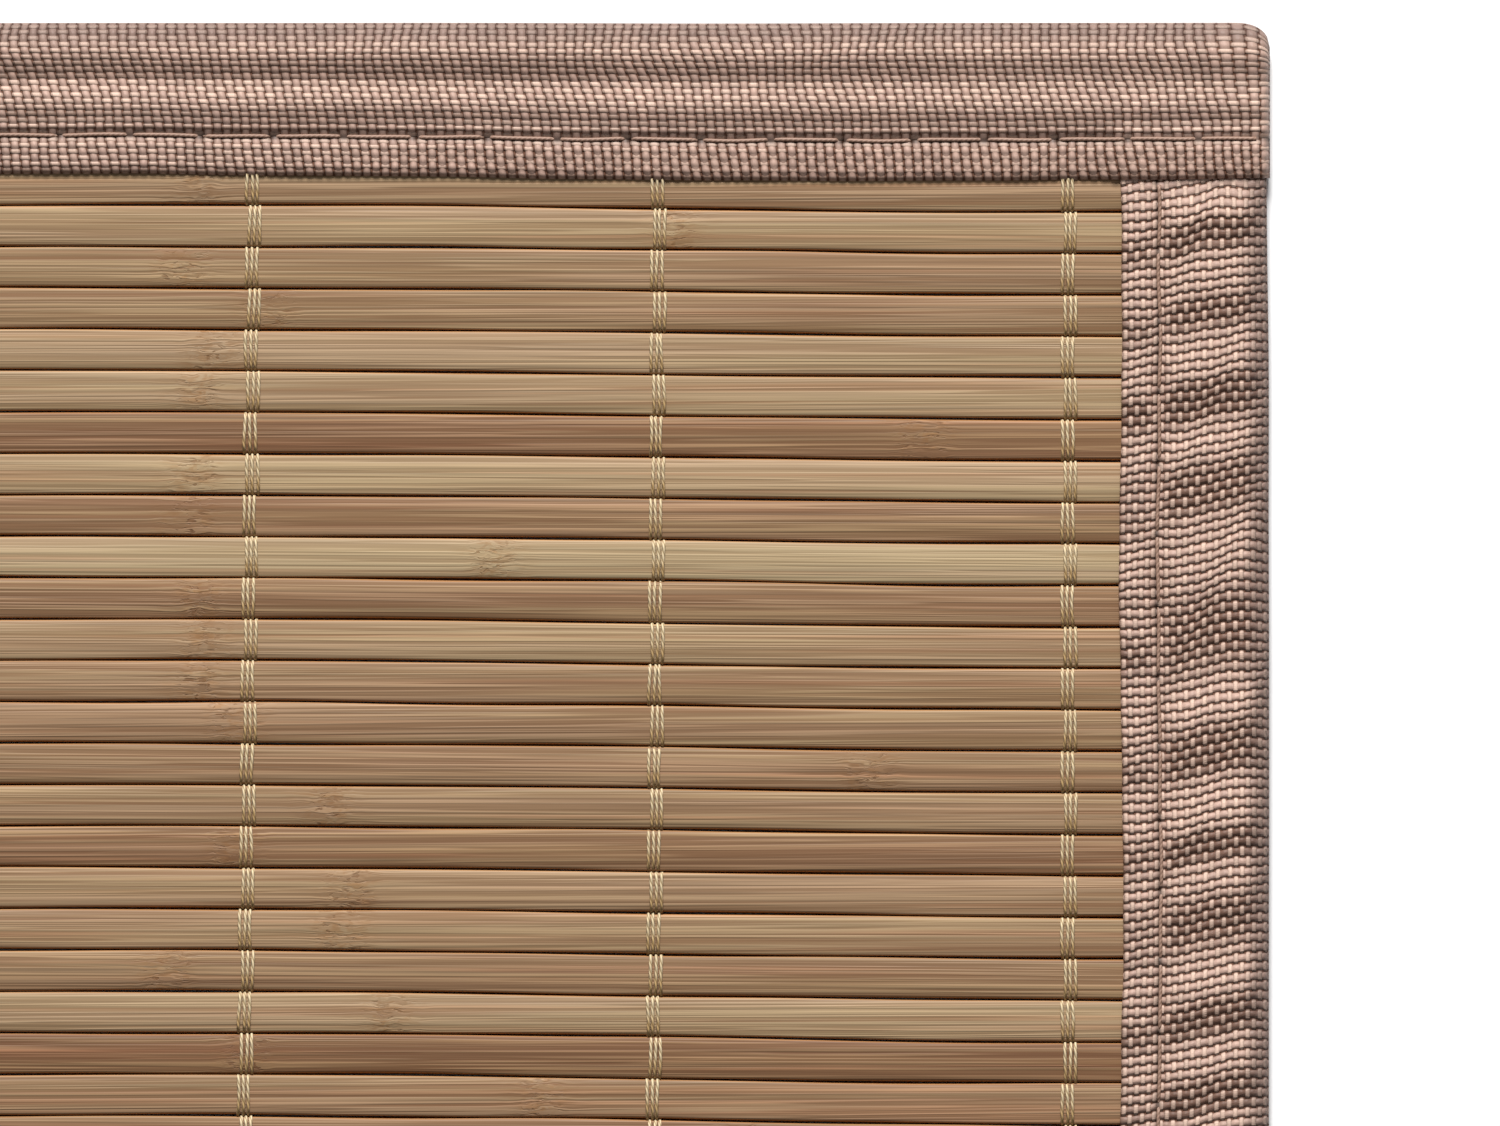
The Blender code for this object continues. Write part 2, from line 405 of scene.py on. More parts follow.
def shapeSlat(mesh, number, knuckles, tilt):
    count = len(mesh.vertices)
    points = np.empty(count * 3)
    mesh.vertices.foreach_get("co", points)
    points = points.reshape(-1, 3) / mm
    x, y, z = points.T
    wide = layout["pitch"] - slatValues["gap"]
    upper = gapEdge(number - 1, x, -1.0)
    lower = gapEdge(number, x, 1.0)
    share = y / wide + 0.5
    middle = (gapPlace(number) + gapPlace(number - 1)) / 2
    height = (z - layout["slatBase"]) / layout["slatThick"]
    # the sides lean, so that neighbours almost touch low down
    spread = softStep(0.75, 0.15, height) * (upper - lower - layout["pitch"] + slatValues["lowGap"]) / 2
    newY = lower + (upper - lower) * share - spread * (2.0 * share - 1.0) + slatShift(x, middle)
    bow = slatValues["crown"] * (1.0 - (2.0 * share - 1.0) ** 2) - slatValues["crown"]
    near = np.zeros(count)
    for place in knuckles:
        near = np.maximum(near, np.exp(-(((x - place) / slatValues["knuckleLength"]) ** 2)))
    rise = slatValues["knuckleRise"] * near * (1.0 - (2.0 * share - 1.0) ** 4)
    rise = rise + 0.05 * wander(x, 700 + number, 38.0)
    newZ = z + height * (bow + rise * 0.6) + tilt * (share - 0.5) * wide
    points = np.stack([x, newY, newZ], axis=1) * mm
    mesh.vertices.foreach_set("co", points.ravel())
    pointValue(mesh, "knuckle", near)
    # the walls of the gaps, between the two faces, which the material paints dark brown: painted shade in
    # the gaps between the slats
    base = layout["slatBase"]
    top = base + layout["slatThick"]
    pointValue(mesh, "side", softStep(base + 0.05, base + 0.4, z) * softStep(top - 0.03, top - 0.4, z))
    mesh.update()


def bambooMaterial():
    n = Nodes("split_bamboo")
    place = n.add("ShaderNodeTexCoord").outputs["Object"]
    tone = n.attribute("tone")
    lot = n.attribute("lot")
    knuckle = n.attribute("knuckle")
    side = n.attribute("side")
    x, y, z = n.split(place)
    xMm = n.sum("MULTIPLY", x, 1000.0)
    yMm = n.sum("MULTIPLY", y, 1000.0)
    # the grain runs a little askew in each slat
    skew = n.sum("MULTIPLY", n.sum("SINE", n.sum("MULTIPLY", lot, 5.3)), 0.006)
    across = n.sum("ADD", yMm, n.sum("MULTIPLY", xMm, skew))
    across = n.sum("ADD", across, n.sum("MULTIPLY", lot, 37.0))
    bend = n.noise(n.vector(n.sum("MULTIPLY", xMm, 0.16), n.sum("MULTIPLY", across, 0.9), lot), 1.0, 2.0)
    wavy = n.sum("MULTIPLY", n.sum("MULTIPLY", n.sum("SUBTRACT", bend, 0.5), knuckle), 3.2)
    across = n.sum("ADD", across, wavy)

    def streaks(along, over, shift, detail=1.0, rough=0.5):
        layer = n.sum("ADD", lot, shift)
        spot = n.vector(n.sum("MULTIPLY", xMm, along), n.sum("MULTIPLY", across, over), layer)
        return n.noise(spot, 1.0, detail, rough)

    broad = streaks(0.006, 0.30, 0.0)
    band = streaks(0.009, 0.75, 3.0)
    line = streaks(0.006, 1.05, 6.0, 2.0, 0.7)
    hair = streaks(0.022, 2.1, 9.0, 2.0, 0.6)
    vein = streaks(0.0040, 0.72, 12.0, 2.0, 0.5)
    fleck = streaks(0.020, 0.9, 15.0)
    pale = n.blend(n.step(0.35, 0.65, broad), *slatValues["paleColours"])
    ruddy = n.blend(n.step(0.35, 0.65, broad), *slatValues["ruddyColours"])
    base = n.blend(tone, ruddy, pale)
    rosy = n.sum("MULTIPLY", n.step(0.55, 0.70, band), 0.55)
    base = n.blend(rosy, base, n.blend(tone, *slatValues["rosyColours"]))
    # ruddy slats are the streakier ones
    contrast = n.sum("SUBTRACT", 1.45, n.sum("MULTIPLY", tone, 0.85))
    swing = n.sum("MULTIPLY", n.sum("SUBTRACT", n.step(0.30, 0.68, line), 0.5), 0.34)
    swing = n.sum("ADD", swing, n.sum("MULTIPLY", n.sum("SUBTRACT", n.step(0.34, 0.64, hair), 0.5), 0.24))
    light = n.sum("ADD", 0.95, n.sum("MULTIPLY", swing, contrast))
    # fine dark veins where a slow noise crosses its middle
    ridge = n.sum("ABSOLUTE", n.sum("SUBTRACT", vein, 0.5))
    ridge = n.sum("SUBTRACT", 1.0, n.step(0.025, 0.100, ridge))
    ridge = n.sum("MULTIPLY", ridge, n.step(0.36, 0.54, fleck))
    other = n.sum("ABSOLUTE", n.sum("SUBTRACT", streaks(0.0060, 1.05, 21.0), 0.5))
    other = n.sum("MULTIPLY", n.sum("SUBTRACT", 1.0, n.step(0.025, 0.110, other)), n.step(0.64, 0.46, fleck))
    ridge = n.sum("MAXIMUM", ridge, n.sum("MULTIPLY", other, 0.8))
    # a knuckle: short broken fibres, burnt orange patches and small pits
    knotPlace = n.vector(n.sum("MULTIPLY", xMm, 0.24), n.sum("MULTIPLY", across, 1.15), lot)
    knot = n.noise(knotPlace, 1.0, 3.0, 0.7, 0.9)
    dashLayer = n.sum("ADD", lot, 4.0)
    dashPlace = n.vector(n.sum("MULTIPLY", xMm, 0.42), n.sum("MULTIPLY", across, 2.0), dashLayer)
    dash = n.noise(dashPlace, 1.0, 2.0, 0.6, 0.5)
    burnt = n.sum("MULTIPLY", n.step(0.44, 0.62, knot), n.sum("MULTIPLY", knuckle, 0.62))
    pit = n.sum("MULTIPLY", n.step(0.57, 0.68, dash), n.step(0.15, 0.75, knuckle))
    base = n.blend(burnt, base, slatValues["burntColour"])
    umber = n.blend(tone, *slatValues["veinColours"])
    veins = n.sum("MULTIPLY", ridge, n.sum("MULTIPLY", contrast, 0.55))
    dark = n.sum("MAXIMUM", veins, n.sum("MULTIPLY", pit, 0.80))
    colour = n.blend(dark, n.scaled(base, light), umber)
    # painted shade: the gap walls are blended towards a dark brown
    colour = n.blend(n.sum("MULTIPLY", side, 0.92), colour, slatValues["gapShadeColour"])
    n.feed(n.shader.inputs["Base Color"], colour)
    n.feed(n.shader.inputs["Roughness"], n.sum("ADD", 0.55, n.sum("MULTIPLY", side, 0.40)))
    n.feed(n.shader.inputs["Specular IOR Level"], n.sum("MULTIPLY", n.sum("SUBTRACT", 1.0, side), 0.25))
    height = n.sum("ADD", n.sum("MULTIPLY", line, 0.6), n.sum("MULTIPLY", hair, 0.4))
    height = n.sum("SUBTRACT", height, n.sum("MULTIPLY", ridge, 0.5))
    height = n.sum("SUBTRACT", height, n.sum("MULTIPLY", pit, 0.7))
    n.feed(n.shader.inputs["Normal"], n.bump(height, 0.6, 0.00016))
    return n.material


bamboo = bambooMaterial()
blank = slatBlank()
lots = np.random.default_rng(slatValues["lotSeed"])
for number in range(1, layout["slats"] + 1):
    mesh = blank.data.copy()
    slat = bpy.data.objects.new(f"bamboo_slat_{number:02d}", mesh)
    bpy.context.scene.collection.objects.link(slat)
    tone = slatTones.get(number, 0.1 + 0.75 * lots.random())
    first = knucklePlaces.get(number, 20.0 + 160.0 * lots.random())
    second = first - 190.0 - 60.0 * lots.random()
    shapeSlat(mesh, number, (first, second), slatValues["tilt"] * (0.8 + 1.4 * (lots.random() - 0.5)))
    pointValue(mesh, "tone", np.full(len(mesh.vertices), tone))
    pointValue(mesh, "lot", np.full(len(mesh.vertices), 10.0 * lots.random() + number))
    mesh.materials.append(bamboo)
    mesh.shade_smooth()
    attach(slat, "root")
    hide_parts(f"slat_{number:02d}")
bpy.data.objects.remove(blank, do_unlink=True)
print("slats made:", layout["slats"])

# Tape, in millimetres
tapeValues = {
    "ribPitch": 1.7578,
    "yarnPitch": 1.167,
    "pressedTop": 4.15,
    "thick": 0.50,
    "foldReach": 2.9,
    "lip": 28.0,
    "stitch": 20.8,
    "relief": 0.30,
    "topYarns": 24,
    "endDepth": 2.5,
    "cornerRadius": 4.5,
    "tuckTop": 4.12,
    "tuckLow": 0.66,
    "yarnColours": ((0.445, 0.298, 0.230), (0.41, 0.268, 0.222)),
    # the crossing yarns are lighter than the ribs: a painted highlight on their raised backs
    "barColour": (0.56, 0.395, 0.312),
    "shadedYarn": (0.115, 0.054, 0.034),
    "shadedBar": (0.125, 0.060, 0.038),
    # painted shade: the colour of the low parts between the yarns
    "gapShadeColour": (0.155, 0.076, 0.050),
    # painted shade: the colour the outer fold darkens to
    "foldShadeColour": (0.085, 0.052, 0.045),
}
# height of the cloth's crests and troughs above a pressed tape, by distance in from the edge
crossSection = [
    (28.0, -0.16), (26.2, 0.30), (22.6, 0.40), (20.8, -0.28), (19.2, 0.55), (15.0, 1.12),
    (10.8, 0.62), (5.4, 1.22), (0.8, 0.10),
]
# the stitches, which also press the tape's holes
stitchValues = {
    "length": 12.9,
    "radius": 0.33,
    "step": 0.8,
    "sides": 8,
    "start": 5.6,
    "longInset": 2.5,
    "shortInset": 6.0,
    "brownColours": ((0.27, 0.160, 0.110), (0.34, 0.21, 0.155)),
    "grooveShadeColour": (0.25, 0.150, 0.105),
}


def sectionLine():
    # the tape's outer face from its lip over the fold to the lip underneath, sampled by length
    top = tapeValues["pressedTop"]
    fold = tapeValues["foldReach"]
    u = list(np.linspace(tapeValues["lip"], fold, 200))
    z = [top] * 200
    for angle in np.linspace(math.pi / 2, -math.pi / 2, 120)[1:]:
        u.append(fold - fold * math.cos(angle) ** 0.86)
        z.append(top / 2 + top / 2 * math.copysign(abs(math.sin(angle)) ** 0.86, angle))
    u += list(np.linspace(fold, tapeValues["lip"] - 0.4, 200)[1:])
    z += [0.0] * 199
    u, z = np.array(u), np.array(z)
    run = np.concatenate([[0.0], np.cumsum(np.hypot(np.diff(u), np.diff(z)))])
    return run, u, z


def sectionRows():
    # yarn number of each row of points: three rows a yarn on top, then few underneath
    fine = [yarn + (part + 0.5) / 3 for yarn in range(tapeValues["topYarns"]) for part in range(3)]
    fold = [24.5, 25.25, 26.0, 27.0, 28.0]
    under = [29.5, 33.0, 37.0, 41.0, 43.3, 44.2, 45.1, 47.5, 49.8, 50.6]
    return np.array([0.0] + fine + fold + under)


class Tape:
    def __init__(self, name, along, outward, reach, halfOut, lip, lean, bumps, phase):
        self.name = name
        self.along = np.array(along)
        self.outward = np.array(outward)
        self.reach = reach          # half length in millimetres
        self.halfOut = halfOut      # function: outer edge by place along, in millimetres
        self.lip = lip              # function: width that shows, by place along
        self.lean = lean            # how far the outer edge is dragged along, in millimetres
        self.bumps = bumps          # function: extra height by place along and distance in
        self.phase = phase

    def surface(self, place, inward, lift=0.0):
        # a point of the upper face: place along, and distance in from the edge on an even tape
        share = self.lip(place) / tapeValues["lip"]
        height = tapeValues["pressedTop"] + throughKnots(crossSection, inward) + self.bumps(place, inward)
        return self.put(place, inward * share, height + lift)

    def put(self, place, inward, height):
        out = self.halfOut(place) - inward
        flat = np.multiply.outer(place, self.along) + np.multiply.outer(out, self.outward)
        return np.stack([flat[..., 0], flat[..., 1], height * np.ones(np.shape(place))], axis=-1)


def leanShare(inward):
    # the cloth is held at the stitches and dragged along towards the outer fold
    stitch = tapeValues["stitch"]
    outer = softStep(0.0, 1.0, (stitch - inward) / (stitch - 3.0))
    lip = np.clip((inward - stitch) / 7.0, 0.0, 1.0)
    return np.where(inward < stitch, outer, -0.28 * lip)


def reliefHeight(column, row):
    rib = np.floor(column)
    yarn = np.floor(row)
    across = column - rib
    along = row - yarn
    ribShape = np.sin(math.pi * across) ** 0.7
    middle = 1.0 - np.abs(2.0 * along - 1.0)
    ribOver = (rib + yarn) % 2 == 0
    overHeight = ribShape * (0.90 + 0.10 * middle)
    underHeight = np.where(middle > 0.6, 0.42 + 0.56 * ribShape, 0.62 * ribShape)
    return np.where(ribOver, overHeight, underHeight)


def sectionNormal(w, run, u, z):
    # outward direction of the section line at each length w
    before = np.clip(w - 0.2, 0, run[-1])
    after = np.clip(w + 0.2, 0, run[-1])
    du = np.interp(after, run, u) - np.interp(before, run, u)
    dz = np.interp(after, run, z) - np.interp(before, run, z)
    size = np.hypot(du, dz)
    return dz / size, -du / size


def fromHole(place):
    # distance to the nearest needle hole
    phase = (place - stitchValues["start"]) / stitchValues["length"]
    return np.abs(phase - np.round(phase)) * stitchValues["length"]


def foldEnd(edge, height, fromEnd):
    # a long tape's end: the two faces close up, with a round corner
    depth = tapeValues["endDepth"]
    squeeze = np.sqrt(np.clip(1.0 - (1.0 - np.clip(fromEnd / depth, 0.0, 1.0)) ** 2, 0.0, 1.0))
    squeeze = np.maximum(squeeze, 0.14)
    half = tapeValues["pressedTop"] / 2
    radius = tapeValues["cornerRadius"]
    inset = radius - np.sqrt(np.clip(radius**2 - (radius - np.clip(fromEnd, 0, radius)) ** 2, 0, None))
    return edge + inset * np.clip(1.0 - edge / 12.0, 0.0, 1.0) ** 2, half + (height - half) * squeeze


def tuckEnd(height, fromEnd):
    # a short tape's end: pressed thinner, to go in between the long tape's two faces
    top = tapeValues["tuckTop"]
    low = tapeValues["tuckLow"]
    tuck = 1.0 - softStep(4.5, 12.5, fromEnd)
    pressed = low + (top - low) * (1.0 - np.clip((top - height) / top, 0.0, 1.0))
    return height + (np.minimum(pressed, top) - height) * tuck


def turnedAway(tape, height, moved, out, onTop):
    # how far the cloth turns towards the front, away from the window
    stepIn = np.gradient(out, axis=1)
    slopeAlong = np.gradient(height, axis=0) / np.maximum(np.gradient(moved, axis=0), 0.05)
    slopeIn = np.gradient(height, axis=1) / np.where(np.abs(stepIn) < 0.05, -0.05, stepIn)
    rise = slopeAlong * tape.along[1] - slopeIn * tape.outward[1]
    return np.clip(rise / (0.20 - 0.09 * abs(tape.along[1])), 0.0, 1.0) * onTop


def makeTape(tape, longOne):
    thick = tapeValues["thick"]
    run, lineU, lineZ = sectionLine()
    rows = sectionRows()
    w = np.clip(rows * tapeValues["yarnPitch"], 0.0, run[-1])
    u = np.interp(w, run, lineU)
    z = np.interp(w, run, lineZ)
    normalU, normalZ = sectionNormal(w, run, lineU, lineZ)
    topShare = np.where(z > 2.0, softStep(2.2, 4.2, z), 0.0)
    fineShare = np.where(rows < 24.5, 1.0, 0.0) * softStep(-0.2, 0.5, rows)
    ribs = int(round(tape.reach / tapeValues["ribPitch"])) * 2
    columns = np.arange(0, ribs * 4 + 1) / 4.0
    place = -tape.reach + 2 * tape.reach * columns / ribs
    col, row = np.meshgrid(columns, rows, indexing="ij")
    along, edge = np.meshgrid(place, u, indexing="ij")
    fromEnd = tape.reach - np.abs(along)

    # the middle of the cloth: dragged along at the fold, and up and down over its puckers
    free = softStep(0.0, 9.0, fromEnd) if longOne else softStep(-1.0, 5.0, fromEnd)
    spread = 1.0 + 0.16 * wander(along + 3.0 * edge, tape.phase + 1, 60.0)
    moved = along + tape.lean * leanShare(edge) * free * spread
    moved = moved + 0.16 * wander(along + 2.0 * edge, tape.phase + 2, 21.0, 3) * free
    out = edge * (tape.lip(along) / tapeValues["lip"])
    height = z + topShare * (throughKnots(crossSection, edge) + tape.bumps(along, edge))
    groove = 0.30 * np.exp(-(((edge - tapeValues["stitch"]) / 0.8) ** 2))
    height = height + np.where(z < 0.01, groove, 0.0)
    relief = tapeValues["relief"] * reliefHeight(col, row) * fineShare
    if not longOne:
        relief = relief * (0.4 + 0.6 * softStep(4.5, 9.0, tape.reach - np.abs(moved)))

    # one ring of points for each column: the outer face, then back along the inner one with fewer
    innerRows = np.array([0, 20, 44, 68, 74, 77, 80, 84, 87])

    def ring(outer, inner):
        return np.concatenate([outer, inner[:, innerRows][:, ::-1]], axis=1)

    lipTurn = 0.30 * (1.0 - softStep(-0.1, 0.4, rows))
    ringEdge = ring(out - relief * 0.9 * normalU, np.clip(out - normalU * thick, 0.0, None))
    ringHeight = ring(height + relief * normalZ - lipTurn, height - normalZ * thick)
    ringPlace = ring(moved, moved)
    if longOne:
        ringEdge, ringHeight = foldEnd(ringEdge, ringHeight, ring(fromEnd, fromEnd))
    else:
        ringHeight = tuckEnd(ringHeight, tape.reach - np.abs(ringPlace))
    points = tape.put(ringPlace, ringEdge, ringHeight).reshape(-1, 3) * mm
    uvs = np.stack([ring(col, col).ravel(), ring(row, row).ravel()], axis=1)
    made = meshObject(tape.name, points, ringFaces(len(place), ringEdge.shape[1]), uvs)

    # what the material reads: painted shade in the needle holes and along the seam line, painted shade on
    # the outer fold, shaded cloth, long ribs at the lip
    seat = ringEdge / tape.lip(ringPlace) * tapeValues["lip"] - tapeValues["stitch"]
    # painted shade in the needle holes, and a painted shadow along the seam beside the stitch thread
    holeShade = np.exp(-((fromHole(ringPlace) / 1.5) ** 2)) * np.exp(-(((seat - 0.25) / 0.5) ** 2))
    holeShade = np.maximum(holeShade, 0.62 * np.exp(-(((seat - 0.42) / 0.32) ** 2)))
    # painted shade: darker towards the outer fold, with a thin dark line at its very edge
    fold = softStep(5.5, 1.4, ringEdge) * 0.72 + 0.08 * softStep(0.55, 0.05, ringEdge)
    turned = turnedAway(tape, height, moved, out, np.where(z > 4.0, 1.0, 0.0))
    turned = ring(turned, np.zeros_like(turned))
    acrossLight = abs(tape.along[1])
    longRibs = 0.25 + 0.75 * softStep(20.0, 75.0, ringPlace + 10.0 * wander(ringPlace, 5, 70.0))
    ribbed = softStep(21.5, 23.5, ringEdge) * longRibs * (1.0 - acrossLight)
    pointValue(made.data, "holeShade", holeShade.ravel())
    pointValue(made.data, "fold", fold.ravel())
    pointValue(made.data, "ribShade", (turned * (0.15 + 0.85 * acrossLight)).ravel())
    pointValue(made.data, "barShade", (turned * (1.0 - 0.85 * acrossLight)).ravel())
    pointValue(made.data, "ribbed", ribbed.ravel())
    return made


def tapeMaterial():
    n = Nodes("woven_tape")
    s, t, unused = n.split(n.add("ShaderNodeUVMap", uv_map="weave").outputs[0])
    sway = n.noise(n.vector(n.sum("MULTIPLY", s, 0.9), n.sum("MULTIPLY", t, 0.9), 5.0), 1.0, 1.0)
    s = n.sum("ADD", s, n.sum("MULTIPLY", n.sum("SUBTRACT", sway, 0.5), 0.10))
    rib = n.sum("FLOOR", s)
    yarn = n.sum("FLOOR", t)
    across = n.sum("SUBTRACT", n.sum("SUBTRACT", s, rib), 0.5)
    along = n.sum("SUBTRACT", n.sum("SUBTRACT", t, yarn), 0.5)

    def rounded(offset, half):
        share = n.sum("DIVIDE", offset, half)
        return n.sum("SQRT", n.sum("MAXIMUM", n.sum("SUBTRACT", 1.0, n.sum("MULTIPLY", share, share)), 0.0))

    def cosine(value):
        return n.sum("COSINE", n.sum("MULTIPLY", value, math.pi))

    ribRound = rounded(across, 0.42)
    yarnRound = rounded(along, 0.39)
    ribWave = cosine(n.sum("SUBTRACT", n.sum("SUBTRACT", t, 0.5), rib))
    yarnWave = n.sum("MULTIPLY", cosine(n.sum("SUBTRACT", n.sum("SUBTRACT", s, 0.5), yarn)), -1.0)
    yarnWave = n.sum("MINIMUM", n.sum("MAXIMUM", n.sum("MULTIPLY", yarnWave, 1.8), -1.0), 1.0)

    def yarnHeight(wave, waveShare, round, roundShare):
        # a wave under and over, and the yarn's own round back, dropping away beside it
        top = n.sum("ADD", n.sum("MULTIPLY", wave, waveShare), n.sum("MULTIPLY", round, roundShare))
        beside = n.sum("SUBTRACT", 1.0, n.step(0.0, 0.25, round))
        return n.sum("SUBTRACT", top, n.sum("MULTIPLY", beside, 0.9))

    ribTop = yarnHeight(ribWave, 0.14, ribRound, 0.66)
    yarnTop = yarnHeight(yarnWave, 0.46, yarnRound, 0.44)
    yarnTop = n.sum("SUBTRACT", yarnTop, n.sum("MULTIPLY", n.attribute("ribbed"), 0.34))
    height = n.sum("MAXIMUM", n.sum("MAXIMUM", ribTop, yarnTop), -0.3)
    isBar = n.step(-0.05, 0.05, n.sum("SUBTRACT", yarnTop, ribTop))
    fibre = n.noise(n.vector(n.sum("MULTIPLY", s, 9.0), n.sum("MULTIPLY", t, 1.6), 0.0), 1.0, 2.0, 0.6)
    mottle = n.noise(n.vector(n.sum("MULTIPLY", s, 0.11), n.sum("MULTIPLY", t, 0.16), 3.0), 1.0, 3.0, 0.6)
    # yarns that lie across the light go dark where the cloth turns away from it
    ribShade = n.sum("MULTIPLY", n.attribute("ribShade"), 0.85)
    barShade = n.sum("MULTIPLY", n.attribute("barShade"), 0.62)
    yarnColour = n.blend(ribShade, n.blend(mottle, *tapeValues["yarnColours"]), tapeValues["shadedYarn"])
    # painted highlight: the crossing yarns take a lighter colour than the ribs
    barColour = n.blend(barShade, tapeValues["barColour"], tapeValues["shadedBar"])
    colour = n.blend(isBar, yarnColour, barColour)
    # painted shade: the low parts between the yarns are blended towards a dark brown
    depth = n.step(0.10, 0.66, height)
    colour = n.blend(n.sum("SUBTRACT", 1.0, depth), colour, tapeValues["gapShadeColour"])
    # painted shade: the cloth darkens towards the outer fold, with a thin dark line at its very edge
    colour = n.blend(n.sum("MULTIPLY", n.attribute("fold"), 0.85), colour, tapeValues["foldShadeColour"])
    light = n.sum("ADD", 0.82, n.sum("MULTIPLY", n.chance((rib, yarn)), 0.20))
    light = n.sum("ADD", light, n.sum("MULTIPLY", n.chance(rib), 0.10))
    light = n.sum("ADD", light, n.sum("MULTIPLY", n.sum("SUBTRACT", fibre, 0.5), 0.36))
    # painted shade in the needle holes and along the seam line
    light = n.sum("MULTIPLY", light, n.sum("SUBTRACT", 1.0, n.sum("MULTIPLY", n.attribute("holeShade"), 0.85)))
    n.feed(n.shader.inputs["Base Color"], n.scaled(colour, light))
    n.shader.inputs["Roughness"].default_value = 0.55
    n.feed(n.shader.inputs["Specular IOR Level"], n.sum("MULTIPLY", depth, 0.30))
    fine = n.sum("ADD", height, n.sum("MULTIPLY", fibre, 0.10))
    n.feed(n.shader.inputs["Normal"], n.bump(fine, 1.0, 0.00062))
    return n.material


# puckers across the right tape: place along it and height in millimetres, crest and valley by turns
rightPuckers = [
    (124.0, 0.10), (113.4, 1.15), (106.8, 0.15), (99.6, 0.75), (92.8, 0.05), (84.6, 1.45), (76.1, 0.00),
    (69.6, 1.10), (58.3, 0.00), (46.7, 1.50), (29.0, 0.00), (21.7, 1.25), (10.9, 0.00), (2.5, 1.15),
    (-4.0, 0.20), (-9.1, 1.00), (-19.6, 0.00), (-28.4, 1.35), (-35.5, 0.10), (-42.2, 1.15), (-50.0, 0.10),
    (-60.0, 1.25), (-70.0, 0.05), (-81.0, 1.30), (-90.0, 0.10), (-101.0, 1.20), (-112.0, 0.15),
    (-124.0, 0.50),
]


def onCrown(inward):
    return softStep(21.0, 17.5, inward) * softStep(0.5, 5.0, inward)


def rightBumps(place, inward):
    # the puckers slant like the ribs
    total = throughKnots(rightPuckers, place - 0.10 * (14.0 - inward) + 0.5 * wander(inward, 62, 11.0))
    lipWave = (0.08 * wander(place, 61, 9.0) + 0.40 * total) * softStep(21.5, 23.5, inward)
    return (total - 0.50) * onCrown(inward) + lipWave


def leftBumps(place, inward):
    lipWave = 0.12 * wander(place, 72, 9.0) * softStep(21.5, 23.0, inward)
    return 0.42 * wander(place, 71, 24.0) * onCrown(inward) + lipWave


def overShort(place, inward):
    # the long tapes climb over the ends of the short ones
    return 0.62 * softStep(194.0, 199.5, np.abs(place)) * softStep(17.0, 22.0, inward)


def backBumps(place, inward):
    fade = 1.0 - softStep(60.0, 205.0, place)
    dip = -0.42 * fade * np.exp(-(((inward - 10.6) / 2.0) ** 2))
    swell = 0.16 * wander(place + 2.0 * inward, 81, 58.0) * onCrown(inward)
    lipWave = 0.06 * wander(place, 82, 17.0) * softStep(21.5, 23.0, inward)
    return dip + swell + lipWave + overShort(place, inward)


def frontBumps(place, inward):
    dip = -0.30 * (0.5 + 0.5 * wander(place, 93, 160.0)) * np.exp(-(((inward - 10.6) / 2.0) ** 2))
    swell = 0.16 * wander(place + 2.0 * inward, 91, 58.0) * onCrown(inward)
    lipWave = 0.06 * wander(place, 92, 17.0) * softStep(21.5, 23.0, inward)
    return dip + swell + lipWave + overShort(place, inward)


# the width that shows of each tape: a slow sway and a small unevenness
def backLip(x):
    return 28.0 + 0.65 * np.sin(2 * math.pi * (x - 75.0) / 330.0) + 0.08 * wander(x, 101, 26.0)


def frontLip(x):
    return 27.9 + 0.55 * np.sin(2 * math.pi * (x + 40.0) / 290.0) + 0.08 * wander(x, 102, 26.0)


def rightLip(y):
    return 26.8 + 0.35 * np.sin(2 * math.pi * (y - 20.0) / 118.0) + 0.12 * wander(y, 103, 22.0)


def leftLip(y):
    return 26.9 + 0.35 * np.sin(2 * math.pi * (y + 35.0) / 131.0) + 0.12 * wander(y, 104, 22.0)


# the outer edge of each tape, from the mat's middle
def backEdge(x):
    return 149.9 + 0.05 * wander(x, 111, 90.0)


def frontEdge(x):
    return 149.9 + 0.05 * wander(x, 112, 90.0)


def rightEdge(y):
    return 224.9 - 0.55 * softStep(60.0, 150.0, y) + 0.05 * wander(y, 113, 60.0)


def leftEdge(y):
    return 224.8 + 0.12 * wander(y, 114, 60.0)


tapes = [
    Tape("tape_back", (1.0, 0.0), (0.0, 1.0), 225.0, backEdge, backLip, -2.8, backBumps, 1000),
    Tape("tape_front", (1.0, 0.0), (0.0, -1.0), 225.0, frontEdge, frontLip, 2.2, frontBumps, 2000),
    Tape("tape_right", (0.0, 1.0), (1.0, 0.0), 126.5, rightEdge, rightLip, 2.7, rightBumps, 3000),
    Tape("tape_left", (0.0, 1.0), (-1.0, 0.0), 126.5, leftEdge, leftLip, -2.6, leftBumps, 4000),
]
standsFor = {
    "tape_back": "binding_back", "tape_front": "binding_front",
    "tape_right": "binding_right", "tape_left": "binding_left",
}
woven = tapeMaterial()
for tape in tapes:
    longOne = tape.reach > 200.0
    cloth = makeTape(tape, longOne)
    cloth.data.materials.append(woven)
    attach(cloth, "root")
    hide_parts(standsFor[tape.name])
    print(tape.name, "made:", len(cloth.data.polygons), "faces")

